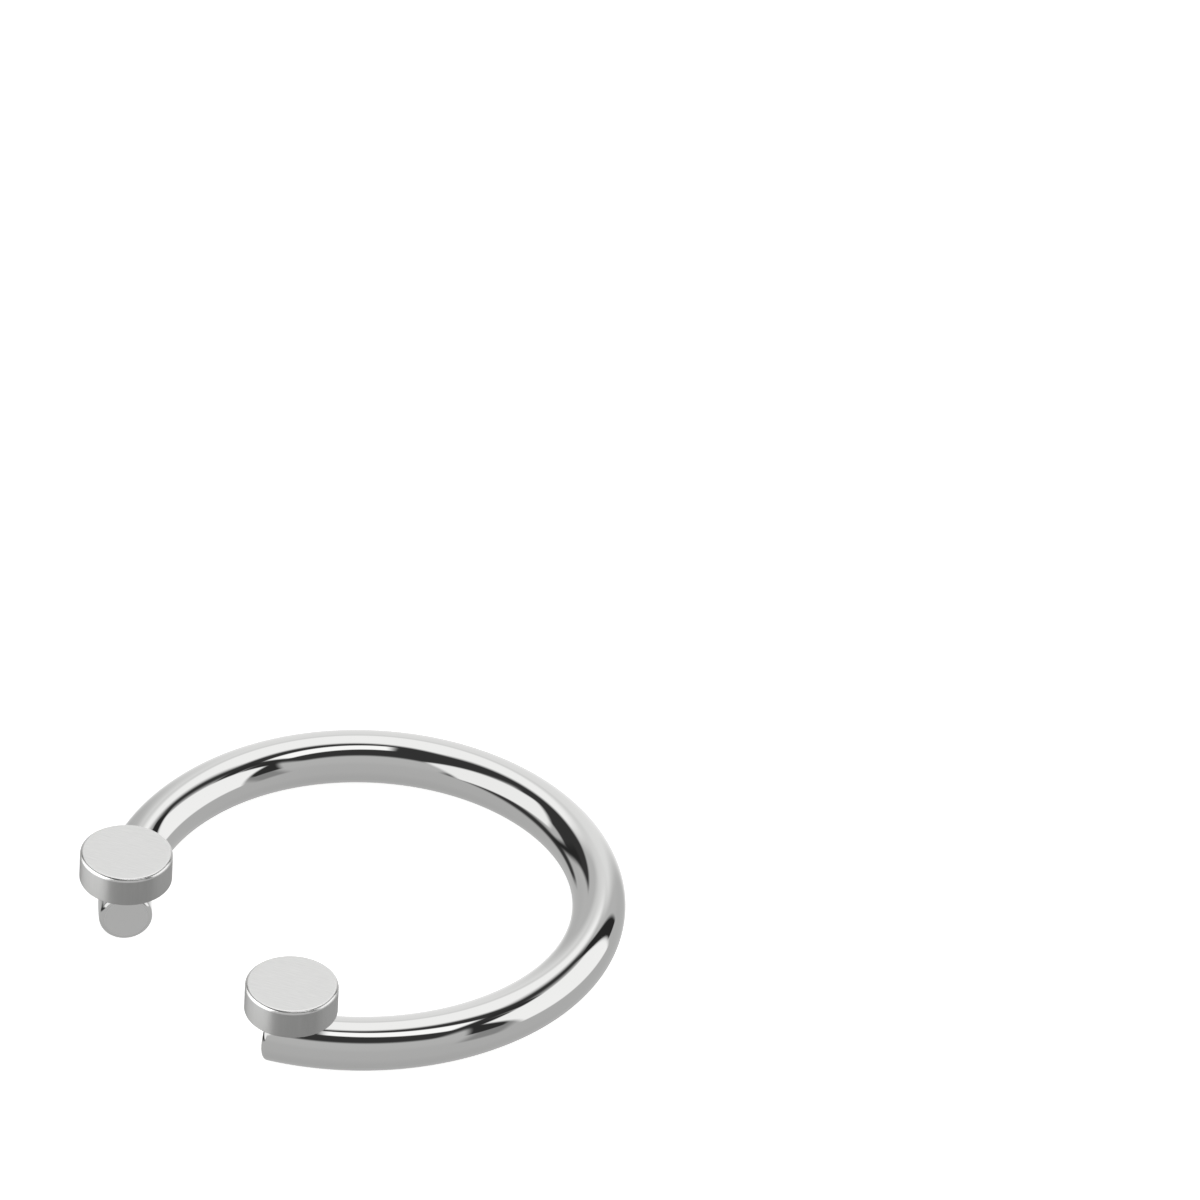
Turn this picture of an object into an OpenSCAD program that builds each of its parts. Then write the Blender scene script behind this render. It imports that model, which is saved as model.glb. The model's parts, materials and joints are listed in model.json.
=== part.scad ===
// Horseshoe barbell: a round wire bent into an open ring, with a flat disc screwed
// into its side beside each end. It lies on its side on the plane z = 0. The centre
// of the ring is above the origin, the opening faces -Y and the discs stand on top.
// The top half of the ring is a true circle and the sides below it are bent wider.
// All sizes are in millimetres and all angles in degrees.

/* [Wire] */
// Thickness of the round wire, 16 gauge
wire_d = 1.3; // [1.2:0.05:1.6]
// Inside diameter of the ring's top half
inside_d = 10; // [8:0.5:12]
// Extra bend radius of the two sides, which spread a little toward the ends
side_flare = 0.56; // [0.2:0.02:0.8]
// Angle from the middle of the opening to a disc, round the centre of that side's bend
disc_angle = 37.3; // [36:0.1:42]
// Length of wire from the axis of the disc to the cut end
run_past_disc = 0.53; // [0.5:0.01:0.8]
// Rounding round the edge of each cut end
end_round = 0.12; // [0.06:0.01:0.15]

/* [Discs] */
// Diameter of each disc
disc_d = 2.25; // [2:0.05:2.6]
// Thickness of each disc
disc_h = 0.78; // [0.6:0.02:1]
// Polished rounding of the disc's upper edge
disc_top_round = 0.08; // [0.04:0.01:0.15]
// Rounding of the disc's lower edge
disc_foot_round = 0.04; // [0.02:0.01:0.08]

/* [Necks, seats and posts] */
// Diameter of the short neck that each disc stands on
neck_d = 1; // [0.9:0.05:1.1]
// Height of that neck above its seat
neck_h = 0.25; // [0.1:0.05:0.4]
// Depth of the round flat that is milled into the top of the wire as a seat
seat_drop = 0.05; // [0.03:0.01:0.08]
// Room that the seat leaves round the neck
seat_margin = 0.1; // [0.06:0.01:0.15]
// Diameter of the post under each disc
post_d = 0.8; // [0.6:0.05:0.8]
// Length of the post under each disc
post_len = 0.9; // [0.6:0.05:0.95]
// Rounding of the tip of the post
post_tip_round = 0.06; // [0.03:0.01:0.1]
// Clearance round the post in its hole
post_play = 0.02; // [0.01:0.01:0.05]
// Spare depth of the hole below the post
hole_spare = 0.05; // [0.02:0.01:0.1]

/* [Smoothness] */
// Sides of every round shape
facets = 96; // [48:12:144]

/* [Hidden] */
$fn = facets;

wire_r = wire_d / 2;
top_r = inside_d / 2 + wire_r;
side_r = top_r + side_flare;
quarter = 90;
end_angle = disc_angle - run_past_disc / side_r * 180 / PI;
disc_r = disc_d / 2;
seat_z = wire_d - seat_drop;
neck_r = neck_d / 2;
post_r = post_d / 2;
hole_depth = post_len + hole_spare;
steel = [0.72, 0.72, 0.73];
satin_steel = [0.85, 0.85, 0.84];

// Half of the section of a round bar along the Y axis, with a rounded far edge
module bar_section(radius, length, far_round) {
    square([radius - far_round, length]);
    square([radius, length - far_round]);
    translate([radius - far_round, length - far_round])
        circle(r = far_round);
}

// Half of the section of a disc, rounded at both edges
module disc_section() {
    intersection() {
        bar_section(disc_r, disc_h, disc_top_round);
        translate([0, disc_h])
            mirror([0, 1])
                bar_section(disc_r, disc_h, disc_foot_round);
    }
}

module on_both_sides() {
    children();
    mirror([1, 0, 0])
        children();
}

// Moves to a point on the centre line of the right side, at an angle from the middle
// of the opening, with -Y along the wire toward the cut end
module on_side(angle, z) {
    translate([-side_flare, 0, z])
        rotate([0, 0, angle - quarter])
            translate([side_r, 0, 0])
                children();
}

// A bend of the wire that starts on the +X axis
module bend(radius, angle) {
    rotate_extrude(angle = angle)
        translate([radius, 0])
            circle(r = wire_r);
}

module side_bend() {
    translate([-side_flare, 0, wire_r])
        bend(side_r, end_angle - quarter);
}

module half_top_bend() {
    translate([0, 0, wire_r])
        bend(top_r, quarter);
}

// The sharp edge that is taken off the cut end to round it
module end_edge() {
    cutter_r = 1.15 * end_round;
    on_side(end_angle, wire_r)
        rotate([quarter, 0, 0])
            rotate_extrude()
                translate([wire_r - end_round, -end_round])
                    difference() {
                        square(2 * end_round);
                        circle(r = cutter_r);
                    }
}

// The milled seat and the hole for the post below it
module seat_cut() {
    on_side(disc_angle, seat_z) {
        cylinder(r = neck_r + seat_margin, h = wire_d);
        translate([0, 0, -hole_depth])
            cylinder(r = post_r + post_play, h = wire_d + hole_depth);
    }
}

module half_wire() {
    difference() {
        union() {
            half_top_bend();
            side_bend();
        }
        end_edge();
        seat_cut();
    }
}

module wire() {
    color(steel)
        on_both_sides()
            half_wire();
}

// The right disc with its neck and post
module disc_with_post() {
    color(satin_steel)
        on_side(disc_angle, seat_z) {
            translate([0, 0, neck_h])
                rotate_extrude()
                    disc_section();
            cylinder(r = neck_r, h = neck_h);
            mirror([0, 0, 1])
                rotate_extrude()
                    bar_section(post_r, post_len, post_tip_round);
        }
}

module disc_right() {
    disc_with_post();
}

module disc_left() {
    mirror([1, 0, 0])
        disc_with_post();
}

wire();
disc_left();
disc_right();
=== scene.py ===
"""Horseshoe barbell of surgical steel, lying on its side on a pale table.

The wire is polished to a mirror, the two discs are satin with a polished rim.
Lengths are in metres, and a size that a maker would give in millimetres is times MM.
"""

import json
import math

import bpy
from mathutils import Matrix, Vector


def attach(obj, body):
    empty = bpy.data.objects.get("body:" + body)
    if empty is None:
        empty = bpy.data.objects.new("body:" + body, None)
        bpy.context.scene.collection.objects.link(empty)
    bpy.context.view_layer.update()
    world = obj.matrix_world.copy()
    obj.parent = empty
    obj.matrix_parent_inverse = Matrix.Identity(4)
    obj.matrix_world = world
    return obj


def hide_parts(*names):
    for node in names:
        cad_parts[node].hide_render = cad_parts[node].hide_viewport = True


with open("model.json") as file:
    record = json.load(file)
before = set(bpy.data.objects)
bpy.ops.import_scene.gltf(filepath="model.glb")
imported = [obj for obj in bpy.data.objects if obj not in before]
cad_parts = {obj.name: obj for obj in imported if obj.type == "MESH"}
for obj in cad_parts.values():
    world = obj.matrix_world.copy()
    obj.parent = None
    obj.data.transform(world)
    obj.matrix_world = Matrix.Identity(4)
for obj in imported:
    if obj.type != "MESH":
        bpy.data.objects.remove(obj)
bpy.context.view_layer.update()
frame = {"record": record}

MM = 0.001
TURN = 2 * math.pi
QUARTER = TURN / 4

# Sizes that the frame's record states
MOUNTS = {mount["name"]: mount for mount in frame["record"]["mounts"]}
WIRE_R = MOUNTS["piercing"]["dims"]["r_mm"] * MM
TOP_R = MOUNTS["piercing"]["pos_m"][1]
DISC_FACE = Vector(MOUNTS["right_disc_face"]["pos_m"])
RING_CENTRE = Vector((0, 0, WIRE_R))

# Sizes of the turned and milled details
SIDE_FLARE = 0.56 * MM
SIDE_R = TOP_R + SIDE_FLARE
DISC_ANGLE = math.radians(37.3)
RUN_PAST_DISC = 0.53 * MM
END_ROUND = 0.12 * MM
DISC_R = 1.125 * MM
DISC_H = 0.78 * MM
DISC_TOP_ROUND = 0.08 * MM
DISC_FOOT_ROUND = 0.04 * MM
NECK_R = 0.5 * MM
NECK_H = 0.25 * MM
SEAT_MARGIN = 0.1 * MM
POST_R = 0.4 * MM
POST_LEN = 0.9 * MM
POST_TIP_ROUND = 0.06 * MM
POST_PLAY = 0.02 * MM
HOLE_SPARE = 0.05 * MM
THREAD_PITCH = 0.2 * MM
THREAD_DEPTH = 0.06 * MM
POST_TOP = -0.02 * MM

# How finely the round shapes are drawn
WIRE_SIDES = 128
WIRE_STEP = 0.1 * MM
DISC_SIDES = 192
ROUND_STEPS = 10
POST_STEPS = 90
CAP_RINGS = 6

# Where the photograph shows the ring: pixels of a frame of 1200 by 1200
FRAME_PX = 1200
RING_CENTRE_PX = (366.5, 896.6)
TOP_R_PX = 232.7
CAMERA_AZIMUTH = math.radians(49.6)
CAMERA_ELEVATION = math.radians(37.63)
CAMERA_ROLL = math.radians(2.5)
CAMERA_DISTANCE = 350 * MM
SENSOR_WIDTH = 36


# Colour and node helpers

def linear(hex_colour):
    """The linear colour of an sRGB hex value such as "#C8C8C6"."""
    values = [int(hex_colour[i:i + 2], 16) / 255 for i in (1, 3, 5)]
    return [v / 12.92 if v <= 0.04045 else ((v + 0.055) / 1.055) ** 2.4 for v in values] + [1.0]


def grey(brightness):
    """A linear grey of a brightness."""
    return (brightness, brightness, brightness, 1.0)


def add(tree, kind, settings=None, **links):
    """Adds a node, sets its properties, and sets or links its inputs.

    An input is named by its label with _ for each space, or by in0, in1 and so on.
    A value that is a socket is linked to the input, and any other is set on it.
    """
    node = tree.nodes.new(kind)
    for name, value in (settings or {}).items():
        setattr(node, name, value)
    for name, value in links.items():
        socket = node.inputs[int(name[2:])] if name[:2] == "in" and name[2:].isdigit() \
            else node.inputs[name.replace("_", " ")]
        if isinstance(value, bpy.types.NodeSocket):
            tree.links.new(value, socket)
        else:
            socket.default_value = value
    return node


def new_material(name):
    """A new material with an empty node tree."""
    material = bpy.data.materials.new(name)
    material.use_nodes = True
    material.node_tree.nodes.clear()
    return material, material.node_tree


# Materials

# Direction of the scratches on the discs' faces from the X axis, and their length to width
SCRATCH_ANGLE = math.radians(30)
SCRATCH_STRETCH = 12.0


def steel(tree, colour, pattern, smoothest, roughest, **inputs):
    """Bare steel whose roughness follows a pattern, from its smoothest to its roughest."""
    roughness = add(tree, "ShaderNodeMapRange", Value=pattern, From_Min=0.3, From_Max=0.7,
                    To_Min=smoothest, To_Max=roughest)
    surface = add(tree, "ShaderNodeBsdfPrincipled", Base_Color=colour, Metallic=1.0,
                  Roughness=roughness.outputs["Result"], **inputs)
    add(tree, "ShaderNodeOutputMaterial", Surface=surface.outputs["BSDF"])


def mirror_polished_steel():
    """Drawn surgical steel wire, tumbled and buffed: a mirror, very slightly cloudy in places."""
    material, tree = new_material("surgical_steel_mirror_polished")
    place = add(tree, "ShaderNodeTexCoord").outputs["Object"]
    haze = add(tree, "ShaderNodeTexNoise", Vector=place, Scale=1 / (1.5 * MM), Detail=3.0)
    steel(tree, linear("#D0D0CF"), haze.outputs["Fac"], 0.015, 0.03)
    return material


def satin_steel_face():
    """The disc's flat face, drawn over fine paper: an even light grey with faint long scratches."""
    material, tree = new_material("surgical_steel_satin_face")
    place = add(tree, "ShaderNodeTexCoord").outputs["Object"]
    along = add(tree, "ShaderNodeMapping", {"vector_type": "TEXTURE"}, Vector=place,
                Rotation=(0.0, 0.0, SCRATCH_ANGLE), Scale=(SCRATCH_STRETCH, 1.0, 1.0))
    scratches = add(tree, "ShaderNodeTexNoise", Vector=along.outputs["Vector"],
                    Scale=1 / (0.03 * MM), Detail=4.0).outputs["Fac"]
    colour = add(tree, "ShaderNodeMix", {"data_type": "RGBA"}, Factor=scratches,
                 in6=linear("#CBCBCA"), in7=linear("#E6E6E5"))
    bump = add(tree, "ShaderNodeBump", Height=scratches, Strength=0.2, Distance=0.004 * MM)
    steel(tree, colour.outputs[2], scratches, 0.4, 0.5, Normal=bump.outputs["Normal"])
    return material


def polished_steel_rim():
    """The disc's rounded edge, buffed bright: it draws a soft white line round the face."""
    material, tree = new_material("surgical_steel_polished_rim")
    place = add(tree, "ShaderNodeTexCoord").outputs["Object"]
    haze = add(tree, "ShaderNodeTexNoise", Vector=place, Scale=1 / (0.3 * MM), Detail=3.0)
    steel(tree, linear("#D6D6D5"), haze.outputs["Fac"], 0.2, 0.26)
    return material


def satin_steel_side():
    """The disc's side, turned on a lathe and satin: soft upright bands of light and grey.

    The turning marks run round the axis, so they spread the light up and down.
    """
    material, tree = new_material("surgical_steel_satin_side")
    place = add(tree, "ShaderNodeTexCoord").outputs["Object"]
    upright = add(tree, "ShaderNodeMapping", Vector=place, Scale=(1.0, 1.0, 0.06))
    streaks = add(tree, "ShaderNodeTexNoise", Vector=upright.outputs["Vector"],
                  Scale=1 / (0.05 * MM), Detail=3.0).outputs["Fac"]
    bump = add(tree, "ShaderNodeBump", Height=streaks, Strength=0.12, Distance=0.003 * MM)
    round_the_axis = add(tree, "ShaderNodeTangent", {"direction_type": "RADIAL", "axis": "Z"})
    steel(tree, linear("#AEAEAD"), streaks, 0.4, 0.5, Normal=bump.outputs["Normal"],
          Anisotropic=0.75, Anisotropic_Rotation=0.25, Tangent=round_the_axis.outputs["Tangent"])
    return material


def sawn_steel_end():
    """The wire's cut end, faced flat and left satin: an even middle grey."""
    material, tree = new_material("surgical_steel_faced_end")
    place = add(tree, "ShaderNodeTexCoord").outputs["Object"]
    grain = add(tree, "ShaderNodeTexNoise", Vector=place, Scale=1 / (0.03 * MM), Detail=4.0)
    steel(tree, linear("#D6D6D5"), grain.outputs["Fac"], 0.3, 0.38)
    return material


def machined_steel():
    """The seats, holes and posts as the cutter leaves them: bright, with fine tool marks."""
    material, tree = new_material("surgical_steel_machined")
    place = add(tree, "ShaderNodeTexCoord").outputs["Object"]
    marks = add(tree, "ShaderNodeTexNoise", Vector=place, Scale=1 / (0.02 * MM), Detail=2.0)
    steel(tree, linear("#BEBEBC"), marks.outputs["Fac"], 0.18, 0.3)
    return material


def pale_table():
    """Smooth white board under the jewel, which glows a little, so hardly any shadow shows."""
    material, tree = new_material("white_board")
    place = add(tree, "ShaderNodeTexCoord").outputs["Object"]
    tone = add(tree, "ShaderNodeTexNoise", Vector=place, Scale=1 / (40 * MM), Detail=2.0)
    colour = add(tree, "ShaderNodeMix", {"data_type": "RGBA"}, Factor=tone.outputs["Fac"],
                 in6=linear("#F7F7F6"), in7=linear("#F9F9F9")).outputs[2]
    surface = add(tree, "ShaderNodeBsdfPrincipled", Base_Color=colour, Roughness=0.7,
                  Emission_Color=colour, Emission_Strength=0.75)
    add(tree, "ShaderNodeOutputMaterial", Surface=surface.outputs["BSDF"])
    return material


# Shapes

# The finishes of the wire and of a disc, in the order of their materials
MIRROR, FACED, MILLED = range(3)
FACE, RIM, SIDE, TURNED = range(4)


def skin(name, rings, finishes, materials):
    """A closed mesh through rings of points, whose first and last ring is one point.

    finishes has the number of a material for each band between two rings.
    """
    starts = [0]
    for ring in rings:
        starts.append(starts[-1] + len(ring))
    faces, numbers = [], []
    for band, finish in enumerate(finishes):
        low, high = starts[band], starts[band + 1]
        low_count, high_count = len(rings[band]), len(rings[band + 1])
        for i in range(max(low_count, high_count)):
            j = i + 1
            corners = [low + i % low_count, low + j % low_count,
                       high + j % high_count, high + i % high_count]
            faces.append(list(dict.fromkeys(corners)))
            numbers.append(finish)
    mesh = bpy.data.meshes.new(name)
    mesh.from_pydata([point for ring in rings for point in ring], [], faces)
    mesh.polygons.foreach_set("material_index", numbers)
    for material in materials:
        mesh.materials.append(material)
    mesh.validate()
    piece = bpy.data.objects.new(name, mesh)
    bpy.context.scene.collection.objects.link(piece)
    return piece


def smooth(piece):
    """Smooth shading with crisp edges where two surfaces meet at an angle."""
    crisp = math.radians(14)
    piece.data.polygons.foreach_set("use_smooth", [True] * len(piece.data.polygons))
    piece.data.set_sharp_from_angle(angle=crisp)


def rounded(corner, radius, start, end):
    """Points of an arc round a corner's centre, as (across, along), from one angle to another."""
    angles = [math.radians(start + (end - start) * k / ROUND_STEPS) for k in range(ROUND_STEPS + 1)]
    return [(corner[0] + radius * math.cos(a), corner[1] + radius * math.sin(a)) for a in angles]


def half_length():
    """Length of the wire's centre line from the top of the ring to a cut end."""
    return TOP_R * QUARTER + SIDE_R * (QUARTER - DISC_ANGLE) + RUN_PAST_DISC


def centre_line(along):
    """A point on the wire's centre line and its direction, counted from the top of the ring.

    along is positive on the right and negative on the left. The top half is a true
    circle and the sides below it are bent a little wider.
    """
    side = 1 if along >= 0 else -1
    below = abs(along) - TOP_R * QUARTER
    radius = TOP_R if below <= 0 else SIDE_R
    angle = -below / radius
    point = Vector((TOP_R - radius + radius * math.cos(angle), radius * math.sin(angle)))
    return (Vector((side * point.x, point.y, WIRE_R)),
            Vector((math.sin(angle), -side * math.cos(angle), 0)))


def wire_ring(along, radius):
    """A ring of points round the centre line."""
    centre, direction = centre_line(along)
    if radius == 0:
        return [centre]
    up = Vector((0, 0, 1))
    outward = up.cross(direction)
    angles = [TURN * k / WIRE_SIDES for k in range(WIRE_SIDES)]
    return [centre + radius * (math.cos(a) * outward + math.sin(a) * up) for a in angles]


def wire_with_ends(materials):
    """The bent wire with its rounded cut ends, before the seats are milled."""
    end = half_length()
    flat_r = WIRE_R - END_ROUND
    straight = end - END_ROUND
    cap = [(flat_r * k / CAP_RINGS, end) for k in range(CAP_RINGS)]
    edge = rounded((flat_r, straight), END_ROUND, 90, 0)
    steps = round(straight / WIRE_STEP)
    skin_line = [(WIRE_R, straight * (1 - k / steps)) for k in range(1, steps)]
    half = cap + edge + skin_line
    stations = [(-along, radius) for radius, along in half] + [(0, WIRE_R)]
    stations += [(along, radius) for radius, along in reversed(half)]
    rings = [wire_ring(along, radius) for along, radius in stations]
    cap_bands = [FACED] * CAP_RINGS
    skin_bands = [MIRROR] * (len(rings) - 1 - 2 * CAP_RINGS)
    return skin("horseshoe_wire", rings, cap_bands + skin_bands + cap_bands, materials)


def lathe(name, centre, profile, finishes, materials, depth=lambda angle, height: 0):
    """A turned shape round an upright axis, from (radius, height) points, with a thread's depth."""
    rings = []
    for radius, height in profile:
        if radius == 0:
            rings.append([centre + Vector((0, 0, height))])
            continue
        ring = []
        for k in range(DISC_SIDES):
            angle = TURN * k / DISC_SIDES
            r = radius - depth(angle, height)
            ring.append(centre + Vector((r * math.cos(angle), r * math.sin(angle), height)))
        rings.append(ring)
    return skin(name, rings, finishes, materials)


def seat_centre(side):
    """The middle of the seat below a disc."""
    return Vector((side * DISC_FACE.x, DISC_FACE.y, DISC_FACE.z - DISC_H - NECK_H))


def seat_cutter(side, materials):
    """What the mill and the drill take away: the seat's flat and the hole below it."""
    hole_r = POST_R + POST_PLAY
    depth = POST_LEN + HOLE_SPARE
    spot_r = NECK_R + SEAT_MARGIN
    above = WIRE_R
    profile = [(0, -depth), (hole_r, -depth), (hole_r, 0), (spot_r, 0), (spot_r, above), (0, above)]
    bands = [MILLED] * (len(profile) - 1)
    return lathe("seat_cutter", seat_centre(side), profile, bands, materials)


def cut(piece, cutter):
    """Takes the cutter's shape out of the piece."""
    modifier = piece.modifiers.new("milled", "BOOLEAN")
    modifier.operation = "DIFFERENCE"
    modifier.object = cutter
    modifier.solver = "EXACT"
    bpy.context.view_layer.update()
    shaped = piece.evaluated_get(bpy.context.evaluated_depsgraph_get())
    result = bpy.data.meshes.new_from_object(shaped)
    piece.modifiers.clear()
    piece.data = result
    bpy.data.objects.remove(cutter)


def make_wire(mirror, faced, machined):
    """The horseshoe: bent wire with a milled seat and a hole at each end."""
    materials = [mirror, faced, machined]
    wire = wire_with_ends(materials)
    for side in (-1, 1):
        cut(wire, seat_cutter(side, materials))
    smooth(wire)
    return wire


def thread(angle, height):
    """How far the thread's groove reaches into the post: round crests and round roots."""
    top, tip = -1.5 * THREAD_PITCH, -POST_LEN + THREAD_PITCH
    if height > top or height < tip:
        return 0
    wave = 0.5 - 0.5 * math.cos(TURN * height / THREAD_PITCH - angle)
    return THREAD_DEPTH * wave


def make_disc(name, side, face, rim, turned_side, machined):
    """A disc with its neck and post, turned from one bar."""
    tip = rounded((POST_R - POST_TIP_ROUND, -POST_LEN + POST_TIP_ROUND), POST_TIP_ROUND, -90, 0)
    post_low = tip[-1][1]
    post = [(POST_R, post_low + (POST_TOP - post_low) * k / POST_STEPS)
            for k in range(1, POST_STEPS + 1)]
    neck = [(POST_R, 0), (NECK_R, 0), (NECK_R, NECK_H)]
    top_of_disc = NECK_H + DISC_H
    foot = rounded((DISC_R - DISC_FOOT_ROUND, NECK_H + DISC_FOOT_ROUND), DISC_FOOT_ROUND, -90, 0)
    top = rounded((DISC_R - DISC_TOP_ROUND, top_of_disc - DISC_TOP_ROUND), DISC_TOP_ROUND, 0, 90)
    flat_r = DISC_R - DISC_TOP_ROUND
    flat = [(flat_r * k / CAP_RINGS, top_of_disc) for k in range(CAP_RINGS - 1, -1, -1)]
    profile = [(0, -POST_LEN)] + tip + post + neck + foot + top + flat
    bands = [TURNED] * (len(tip) + len(post) + len(neck)) + [SIDE] * (len(foot) + 1)
    bands += [RIM] * (len(top) - 1) + [FACE] * len(flat)
    materials = [face, rim, turned_side, machined]
    disc = lathe(name, seat_centre(side), profile, bands, materials, thread)
    smooth(disc)
    return disc


# Studio

def place_camera():
    """A long lens at the photograph's angle, with the ring where the photograph has it."""
    up = Vector((0, 0, 1))
    back = Matrix.Rotation(CAMERA_AZIMUTH, 3, "Z") @ Vector(
        (0, -math.cos(CAMERA_ELEVATION), math.sin(CAMERA_ELEVATION)))
    level_right = up.cross(back).normalized()
    level_up = back.cross(level_right)
    right = math.cos(CAMERA_ROLL) * level_right + math.sin(CAMERA_ROLL) * level_up
    upright = back.cross(right)
    px = TOP_R / TOP_R_PX
    across = (FRAME_PX / 2 - RING_CENTRE_PX[0]) * px
    above = (RING_CENTRE_PX[1] - FRAME_PX / 2) * px
    place = RING_CENTRE + back * CAMERA_DISTANCE
    aim = RING_CENTRE + right * across + upright * above
    z_axis = (place - aim).normalized()
    x_axis = upright.cross(z_axis).normalized()
    y_axis = z_axis.cross(x_axis)
    data = bpy.data.cameras.new("camera")
    data.sensor_width = SENSOR_WIDTH
    data.lens = SENSOR_WIDTH * CAMERA_DISTANCE / (FRAME_PX * px)
    data.clip_start = 10 * MM
    data.clip_end = 10
    camera = bpy.data.objects.new("camera", data)
    camera.matrix_world = Matrix.Translation(place) @ Matrix(
        (x_axis, y_axis, z_axis)).transposed().to_4x4()
    bpy.context.scene.collection.objects.link(camera)
    bpy.context.scene.camera = camera


# The room's own brightness, by height: 0 is straight below the ring and 1 straight above it
ROOM_TONES = [(0.0, 0.57), (0.2, 0.62), (0.5, 0.63), (0.62, 0.67), (0.8, 0.68), (1.0, 0.7)]
BACKDROP_TONE = 0.92
TABLE_WIDTH = 4.0

# The soft box that lights only the discs, placed as the panels below are
DISC_LIGHT_AZIMUTH = -98
DISC_LIGHT_ELEVATION = 6
DISC_LIGHT_DISTANCE = 60 * MM
DISC_LIGHT_SIZE = 100 * MM
DISC_LIGHT_WATTS = 0.04

# Panels of the studio: azimuth from straight behind the ring towards the right, and
# elevation, of the middle; half width and half height; spin; brightness; softness of the edge.
# Angles are in degrees, seen from the ring. A later panel covers an earlier one.
PANELS = [
    ("back_wall", 7, 1, 20, 36, 6, 1.08, 8),
    ("ceiling_flag", 165, 85, 40, 46, -15, 0.05, 5),
    ("left_flag", -58, 35, 22, 19, 60, 0.05, 3),
    ("right_flag", 48, 24, 5, 20, -15, 0.03, 1.5),
    ("floor_flag", -93, -5, 51, 8, 16, 0.05, 5),
    ("left_flag_low", -60, 7, 21, 5, -57, 0.03, 4),
    ("right_gap", 89, 49, 5, 10, 22, 0.04, 1.5),
    ("right_screen", 124, 8, 9, 16, -20, 0.35, 4),
    ("right_screen_top", 119, 33, 8, 19, -20, 0.04, 2),
    ("overhead_box", 1, 63, 23, 22, 16, 1.34, 5),
    ("small_box", 140, 70, 18, 9, -43, 1.5, 2),
    ("left_box", -110, 27, 31, 22, -7, 1.3, 3),
    ("right_box", 85, 20, 28, 25, -2, 1.35, 2),
]


def direction_of(azimuth, elevation):
    """Unit vector in the studio's own axes: X to the camera's right, Y away from it, Z up."""
    a, e = math.radians(azimuth), math.radians(elevation)
    return Vector((math.sin(a) * math.cos(e), math.cos(a) * math.cos(e), math.sin(e)))


def panel_mask(tree, direction, azimuth, elevation, half_width, half_height, spin, soft):
    """1 inside a flat panel seen from the ring and 0 outside it, with a soft edge."""
    normal = direction_of(azimuth, elevation)
    level = Vector((math.cos(math.radians(azimuth)), -math.sin(math.radians(azimuth)), 0))
    turn = Matrix.Rotation(math.radians(spin), 3, normal)
    across = turn @ level
    upward = turn @ level.cross(normal)
    dot = {"operation": "DOT_PRODUCT"}
    facing = add(tree, "ShaderNodeVectorMath", dot, in0=direction, in1=normal).outputs["Value"]
    mask = add(tree, "ShaderNodeMath", {"operation": "GREATER_THAN"}, in0=facing,
               in1=0.01).outputs[0]
    for axis, half in ((across, half_width), (upward, half_height)):
        part = add(tree, "ShaderNodeVectorMath", dot, in0=direction, in1=axis).outputs["Value"]
        slope = add(tree, "ShaderNodeMath", {"operation": "DIVIDE"}, in0=part, in1=facing)
        size = add(tree, "ShaderNodeMath", {"operation": "ABSOLUTE"}, in0=slope.outputs[0])
        edge = add(tree, "ShaderNodeMapRange", {"interpolation_type": "SMOOTHSTEP"},
                   Value=size.outputs[0], From_Min=math.tan(math.radians(half - soft)),
                   From_Max=math.tan(math.radians(half + soft)), To_Min=1.0, To_Max=0.0)
        mask = add(tree, "ShaderNodeMath", {"operation": "MULTIPLY"}, in0=mask,
                   in1=edge.outputs["Result"]).outputs[0]
    return mask


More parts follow.
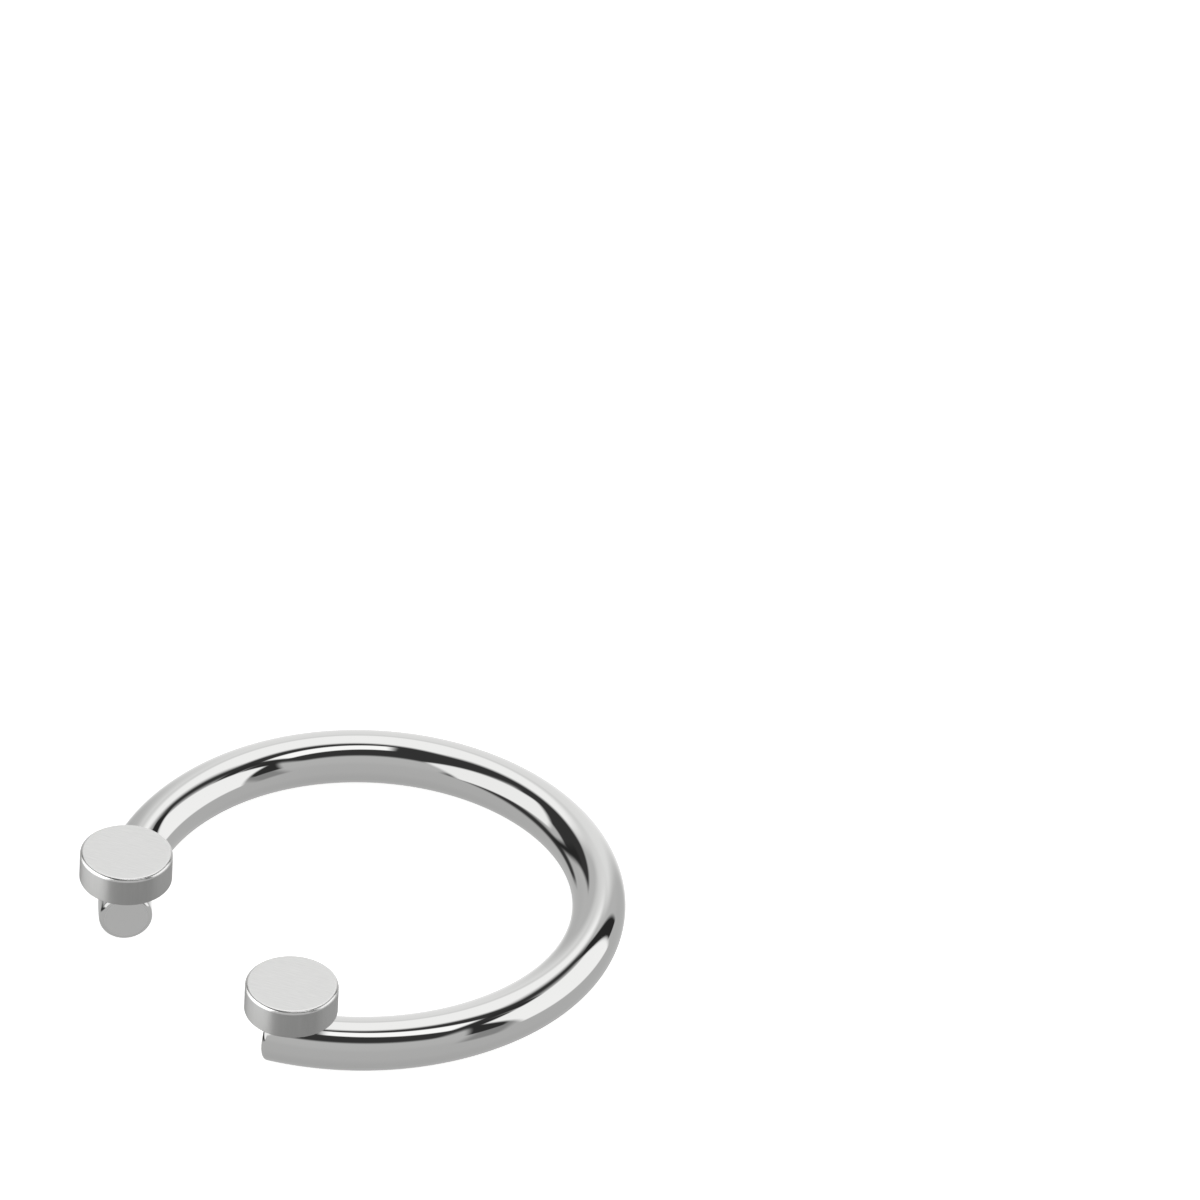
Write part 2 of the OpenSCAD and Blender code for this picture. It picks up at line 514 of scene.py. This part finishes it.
def light_studio():
    """A room of soft boxes and black flags, which the polished wire mirrors."""
    world = bpy.data.worlds.new("studio")
    bpy.context.scene.world = world
    world.use_nodes = True
    tree = world.node_tree
    tree.nodes.clear()
    place = add(tree, "ShaderNodeTexCoord").outputs["Generated"]
    turned = add(tree, "ShaderNodeMapping", {"vector_type": "VECTOR"}, Vector=place,
                 Rotation=(0.0, 0.0, -CAMERA_AZIMUTH))
    direction = turned.outputs["Vector"]
    height = add(tree, "ShaderNodeSeparateXYZ", Vector=direction).outputs["Z"]
    ramp = add(tree, "ShaderNodeValToRGB", Fac=add(
        tree, "ShaderNodeMapRange", Value=height, From_Min=-1.0, From_Max=1.0).outputs["Result"])
    for position, _ in ROOM_TONES[1:-1]:
        ramp.color_ramp.elements.new(position)
    for element, (_, tone) in zip(ramp.color_ramp.elements, ROOM_TONES):
        element.color = grey(tone)
    colour = ramp.outputs["Color"]
    for name, azimuth, elevation, half_w, half_h, spin, bright, soft in PANELS:
        mask = panel_mask(tree, direction, azimuth, elevation, half_w, half_h, spin, soft)
        mix = add(tree, "ShaderNodeMix", {"data_type": "RGBA", "label": name}, Factor=mask,
                  in6=colour, in7=grey(bright))
        colour = mix.outputs[2]
    seen = add(tree, "ShaderNodeLightPath").outputs["Is Camera Ray"]
    shown = add(tree, "ShaderNodeMix", {"data_type": "RGBA"}, Factor=seen, in6=colour,
                in7=grey(BACKDROP_TONE))
    surface = add(tree, "ShaderNodeBackground", Color=shown.outputs[2], Strength=1.0)
    add(tree, "ShaderNodeOutputWorld", Surface=surface.outputs["Background"])


def light_discs(discs):
    """A large soft box on the left that lights only the discs: their left sides are brighter."""
    data = bpy.data.lights.new("disc_light", "AREA")
    data.shape = "SQUARE"
    data.size = DISC_LIGHT_SIZE
    data.energy = DISC_LIGHT_WATTS
    lamp = bpy.data.objects.new("disc_light", data)
    toward = direction_of(DISC_LIGHT_AZIMUTH, DISC_LIGHT_ELEVATION)
    toward.rotate(Matrix.Rotation(CAMERA_AZIMUTH, 3, "Z"))
    lamp.location = RING_CENTRE + DISC_LIGHT_DISTANCE * toward
    lamp.rotation_euler = toward.to_track_quat("Z", "Y").to_euler()
    bpy.context.scene.collection.objects.link(lamp)
    lit = bpy.data.collections.new("lit_discs")
    for disc in discs:
        lit.objects.link(disc)
    lamp.light_linking.receiver_collection = lit


def lay_table():
    """A pale table far wider than the view; the steel mirrors the studio and not the table."""
    half = TABLE_WIDTH / 2
    mesh = bpy.data.meshes.new("table")
    mesh.from_pydata([(-half, -half, 0), (half, -half, 0), (half, half, 0), (-half, half, 0)],
                     [], [(0, 1, 2, 3)])
    mesh.materials.append(pale_table())
    table = bpy.data.objects.new("table", mesh)
    table.visible_glossy = False
    bpy.context.scene.collection.objects.link(table)


def build():
    """Makes the pieces, hides the parts of model.glb that they stand in for, hangs each on the body
    it rides on, and sets up the studio.
    """
    machined = machined_steel()
    face, rim, turned_side = satin_steel_face(), polished_steel_rim(), satin_steel_side()
    wire = make_wire(mirror_polished_steel(), sawn_steel_end(), machined)
    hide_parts("wire")
    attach(wire, "ring")
    pieces = [wire]
    for name, side in (("left", -1), ("right", 1)):
        disc = make_disc(f"{name}_disc_with_post", side, face, rim, turned_side, machined)
        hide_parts(f"disc_{name}")
        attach(disc, f"{name}_end")
        pieces.append(disc)
    # The photograph shows no piece of the jewel mirrored in another
    for piece in pieces:
        piece.visible_glossy = False
    place_camera()
    light_studio()
    light_discs(pieces[1:])
    lay_table()
    bpy.context.scene.view_settings.view_transform = "Standard"


build()
